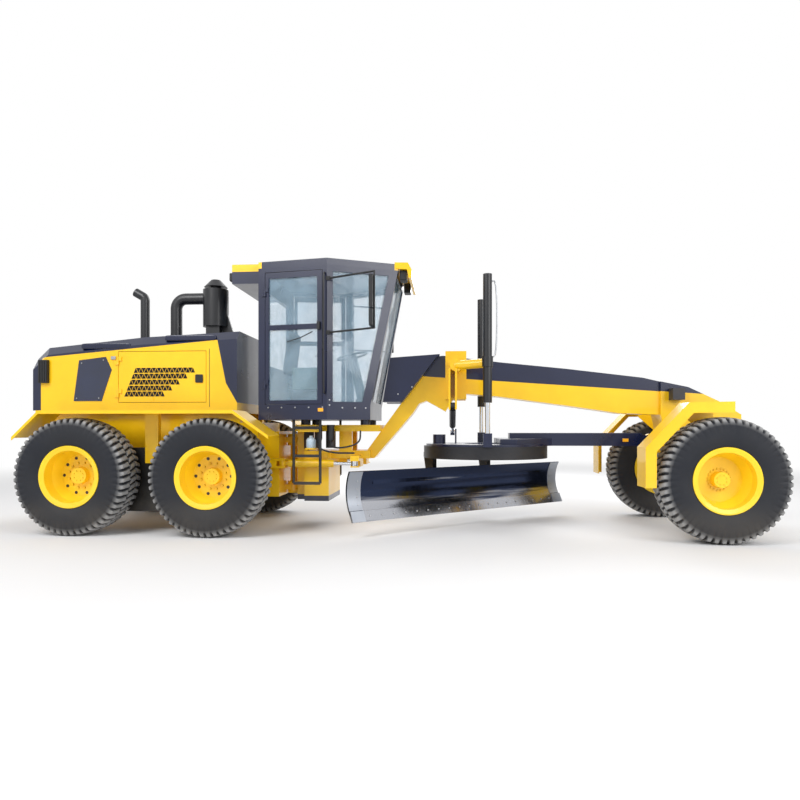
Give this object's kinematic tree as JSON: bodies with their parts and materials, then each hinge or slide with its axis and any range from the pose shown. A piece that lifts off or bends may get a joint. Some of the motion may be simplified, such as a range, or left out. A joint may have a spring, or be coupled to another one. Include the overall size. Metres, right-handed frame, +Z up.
{
  "type": "motor grader",
  "caption": "Yellow articulated motor grader with a tandem drive, glazed cab, and an angled blade on a turning circle under a gooseneck frame.",
  "frame": {"origin": "on the ground under the middle of the machine's length, on its middle plane", "axes": "+X forwards towards the front axle, +Y to the machine's left, +Z up"},
  "size_m": [8.875, 2.5672, 3.235],
  "materials": {
    "yellow_paint": "gloss",
    "navy_paint": "satin",
    "black_paint": "satin",
    "tyre_rubber": "matte",
    "cab_glazing": "gloss",
    "mirror_heads": "matte",
    "worn_steel": "satin",
    "ring_steel": "satin",
    "rod_chrome": "polished",
    "engine_iron": "matte",
    "seat_cloth": "matte",
    "console_plastic": "matte",
    "lamp_red": "gloss"
  },
  "bodies": {
    "chassis_rear": {"rear_frame": "yellow_paint", "hood": "yellow_paint", "engine_block": "engine_iron", "stacks": "black_paint", "rear_grille": "navy_paint", "tail_lamps": "lamp_red"},
    "chassis_front": {"front_frame": "yellow_paint", "saddle": "yellow_paint", "cab_shell": "navy_paint", "cab_roof": "yellow_paint", "cab_glass": "cab_glazing", "operator_seat": "seat_cloth", "steering_console": "console_plastic", "mirrors": "mirror_heads", "ladders": "black_paint", "side_panels": "navy_paint", "hydraulic_gear": "black_paint", "lift_barrel_right": "navy_paint", "lift_barrel_left": "navy_paint"},
    "drawbar_body": {"drawbar": "navy_paint"},
    "circle_body": {"turning_circle": "ring_steel"},
    "carrier_body": {"blade_carrier": "navy_paint"},
    "blade_body": {"moldboard": "worn_steel"},
    "centre_barrel_body": {"centre_barrel": "navy_paint"},
    "centre_rod_body": {"centre_rod": "rod_chrome"},
    "axle_body": {"axle_beam": "navy_paint"},
    "lean_bar_body": {"lean_bar": "navy_paint"},
    "tie_rod_body": {"tie_rod": "navy_paint"},
    "engine_door_body_right": {"engine_door_right": "yellow_paint"},
    "tandem_body_right": {"tandem_case_right": "navy_paint", "tandem_fender_right": "yellow_paint"},
    "wheel_rear_right": {"tyre_rear_right": "tyre_rubber", "rim_rear_right": "yellow_paint"},
    "wheel_middle_right": {"tyre_middle_right": "tyre_rubber", "rim_middle_right": "yellow_paint"},
    "cab_door_body_right": {"cab_door_right": "navy_paint", "cab_door_glass_right": "cab_glazing"},
    "articulation_barrel_body_right": {"articulation_barrel_right": "yellow_paint"},
    "articulation_rod_body_right": {"articulation_rod_right": "rod_chrome"},
    "lift_rod_body_right": {"lift_rod_right": "rod_chrome"},
    "lean_body_right": {"lean_bracket_right": "navy_paint"},
    "knuckle_body_right": {"knuckle_right": "yellow_paint"},
    "wheel_front_right": {"tyre_front_right": "tyre_rubber", "rim_front_right": "yellow_paint"},
    "engine_door_body_left": {"engine_door_left": "yellow_paint"},
    "tandem_body_left": {"tandem_case_left": "navy_paint", "tandem_fender_left": "yellow_paint"},
    "wheel_rear_left": {"tyre_rear_left": "tyre_rubber", "rim_rear_left": "yellow_paint"},
    "wheel_middle_left": {"tyre_middle_left": "tyre_rubber", "rim_middle_left": "yellow_paint"},
    "cab_door_body_left": {"cab_door_left": "navy_paint", "cab_door_glass_left": "cab_glazing"},
    "articulation_barrel_body_left": {"articulation_barrel_left": "yellow_paint"},
    "articulation_rod_body_left": {"articulation_rod_left": "rod_chrome"},
    "lift_rod_body_left": {"lift_rod_left": "rod_chrome"},
    "lean_body_left": {"lean_bracket_left": "navy_paint"},
    "knuckle_body_left": {"knuckle_left": "yellow_paint"},
    "wheel_front_left": {"tyre_front_left": "tyre_rubber", "rim_front_left": "yellow_paint"}
  },
  "joints": [
    {"name": "articulation", "type": "hinge", "parent": "chassis_rear", "child": "chassis_front", "pos_m": [-1.1675, 0, 0.78], "axis": [0, 0, 1], "range_deg": [-20, 20]},
    {"name": "engine_door_right_hinge", "type": "hinge", "parent": "chassis_rear", "child": "engine_door_body_right", "pos_m": [-3.2135, -0.632, 1.86], "axis": [0, 0, -1], "range_deg": [0, 90]},
    {"name": "tandem_right_rock", "type": "hinge", "parent": "chassis_rear", "child": "tandem_body_right", "pos_m": [-2.6655, -0.695, 0.675], "axis": [0, 1, 0], "range_deg": [-10, 10]},
    {"name": "wheel_rear_right_spin", "type": "hinge", "parent": "tandem_body_right", "child": "wheel_rear_right", "pos_m": [-3.4635, -1.06, 0.675], "axis": [0, 1, 0], "continuous": true},
    {"name": "wheel_middle_right_spin", "type": "hinge", "parent": "tandem_body_right", "child": "wheel_middle_right", "pos_m": [-1.8675, -1.06, 0.675], "axis": [0, 1, 0], "continuous": true},
    {"name": "cab_door_right_hinge", "type": "hinge", "parent": "chassis_front", "child": "cab_door_body_right", "pos_m": [-1.34287, -0.72694, 2.3], "axis": [0, 0, -1], "range_deg": [0, 80]},
    {"name": "articulation_cylinder_right_swing", "type": "hinge", "parent": "chassis_rear", "child": "articulation_barrel_body_right", "pos_m": [-1.1875, -0.5, 0.8], "axis": [0, 0, 1], "range_deg": [-22, 22]},
    {"name": "articulation_rod_right_slide", "type": "slide", "parent": "articulation_barrel_body_right", "child": "articulation_rod_body_right", "axis": [1, 0, 0], "range_m": [-0.18, 0.18]},
    {"name": "lift_rod_right_slide", "type": "slide", "parent": "chassis_front", "child": "lift_rod_body_right", "axis": [0, 0, 1], "range_m": [-0.38, 0.19]},
    {"name": "wheel_lean_right", "type": "hinge", "parent": "axle_body", "child": "lean_body_right", "pos_m": [3.7625, -0.645, 0.62], "axis": [1, 0, 0], "range_deg": [-18, 18]},
    {"name": "steer_right", "type": "hinge", "parent": "lean_body_right", "child": "knuckle_body_right", "pos_m": [3.7625, -0.78, 0.675], "axis": [0, 0, 1], "range_deg": [-42, 42]},
    {"name": "wheel_front_right_spin", "type": "hinge", "parent": "knuckle_body_right", "child": "wheel_front_right", "pos_m": [3.7625, -1.06, 0.675], "axis": [0, 1, 0], "continuous": true},
    {"name": "engine_door_left_hinge", "type": "hinge", "parent": "chassis_rear", "child": "engine_door_body_left", "pos_m": [-3.2135, 0.632, 1.86], "axis": [0, 0, 1], "range_deg": [0, 90]},
    {"name": "tandem_left_rock", "type": "hinge", "parent": "chassis_rear", "child": "tandem_body_left", "pos_m": [-2.6655, 0.695, 0.675], "axis": [0, 1, 0], "range_deg": [-10, 10]},
    {"name": "wheel_rear_left_spin", "type": "hinge", "parent": "tandem_body_left", "child": "wheel_rear_left", "pos_m": [-3.4635, 1.06, 0.675], "axis": [0, 1, 0], "continuous": true},
    {"name": "wheel_middle_left_spin", "type": "hinge", "parent": "tandem_body_left", "child": "wheel_middle_left", "pos_m": [-1.8675, 1.06, 0.675], "axis": [0, 1, 0], "continuous": true},
    {"name": "cab_door_left_hinge", "type": "hinge", "parent": "chassis_front", "child": "cab_door_body_left", "pos_m": [-1.34287, 0.72694, 2.3], "axis": [0, 0, 1], "range_deg": [0, 80]},
    {"name": "articulation_cylinder_left_swing", "type": "hinge", "parent": "chassis_rear", "child": "articulation_barrel_body_left", "pos_m": [-1.1875, 0.5, 0.8], "axis": [0, 0, 1], "range_deg": [-22, 22]},
    {"name": "articulation_rod_left_slide", "type": "slide", "parent": "articulation_barrel_body_left", "child": "articulation_rod_body_left", "axis": [1, 0, 0], "range_m": [-0.18, 0.18]},
    {"name": "lift_rod_left_slide", "type": "slide", "parent": "chassis_front", "child": "lift_rod_body_left", "axis": [0, 0, 1], "range_m": [-0.38, 0.19]},
    {"name": "wheel_lean_left", "type": "hinge", "parent": "axle_body", "child": "lean_body_left", "pos_m": [3.7625, 0.645, 0.62], "axis": [1, 0, 0], "range_deg": [-18, 18]},
    {"name": "steer_left", "type": "hinge", "parent": "lean_body_left", "child": "knuckle_body_left", "pos_m": [3.7625, 0.78, 0.675], "axis": [0, 0, 1], "range_deg": [-42, 42]},
    {"name": "wheel_front_left_spin", "type": "hinge", "parent": "knuckle_body_left", "child": "wheel_front_left", "pos_m": [3.7625, 1.06, 0.675], "axis": [0, 1, 0], "continuous": true},
    {"name": "axle_rock", "type": "hinge", "parent": "chassis_front", "child": "axle_body", "pos_m": [3.7625, 0, 0.74], "axis": [-1, 0, 0], "range_deg": [-15, 15]},
    {"name": "lean_bar_swing", "type": "hinge", "parent": "lean_body_right", "child": "lean_bar_body", "pos_m": [3.8975, -0.645, 0.845], "axis": [1, 0, 0], "range_deg": [-18, 18]},
    {"name": "tie_rod_slide", "type": "slide", "parent": "axle_body", "child": "tie_rod_body", "axis": [0, 1, 0], "range_m": [-0.14, 0.14]},
    {"name": "blade_lift", "type": "hinge", "parent": "chassis_front", "child": "drawbar_body", "pos_m": [3.3325, 0, 1.085], "axis": [0, 1, 0], "range_deg": [-10, 5]},
    {"name": "centre_cylinder_swing", "type": "hinge", "parent": "chassis_front", "child": "centre_barrel_body", "pos_m": [0.8925, -0.47, 1.5], "axis": [1, 0, 0], "range_deg": [-26, 13]},
    {"name": "centre_rod_slide", "type": "slide", "parent": "centre_barrel_body", "child": "centre_rod_body", "axis": [0, 0.9296, -0.3685], "range_m": [-0.09, 0.17]},
    {"name": "circle_turn", "type": "hinge", "parent": "drawbar_body", "child": "circle_body", "pos_m": [1.3025, 0, 0.935], "axis": [0, 0, 1], "continuous": true},
    {"name": "blade_tilt", "type": "hinge", "parent": "circle_body", "child": "carrier_body", "pos_m": [1.0532, 0.28679, 0.3], "axis": [0.7547, 0.6561, 0], "range_deg": [-5, 40]},
    {"name": "blade_shift", "type": "slide", "parent": "carrier_body", "child": "blade_body", "axis": [0.7547, 0.6561, 0], "range_m": [-0.47, 0.73]}
  ],
  "couplings": [
    {"joint": "articulation_cylinder_right_swing", "follows": "articulation", "ratio": 1},
    {"joint": "articulation_rod_right_slide", "follows": "articulation", "m_per_rad": 0.4895},
    {"joint": "lift_rod_right_slide", "follows": "blade_lift", "m_per_rad": 2.04},
    {"joint": "articulation_cylinder_left_swing", "follows": "articulation", "ratio": 1},
    {"joint": "articulation_rod_left_slide", "follows": "articulation", "m_per_rad": -0.4895},
    {"joint": "lift_rod_left_slide", "follows": "blade_lift", "m_per_rad": 2.04},
    {"joint": "wheel_lean_left", "follows": "wheel_lean_right", "ratio": 1},
    {"joint": "steer_left", "follows": "steer_right", "ratio": 1},
    {"joint": "lean_bar_swing", "follows": "wheel_lean_right", "ratio": -1},
    {"joint": "tie_rod_slide", "follows": "steer_right", "m_per_rad": -0.173},
    {"joint": "centre_cylinder_swing", "follows": "blade_lift", "ratio": 2.5716},
    {"joint": "centre_rod_slide", "follows": "blade_lift", "m_per_rad": -0.89903}
  ]
}
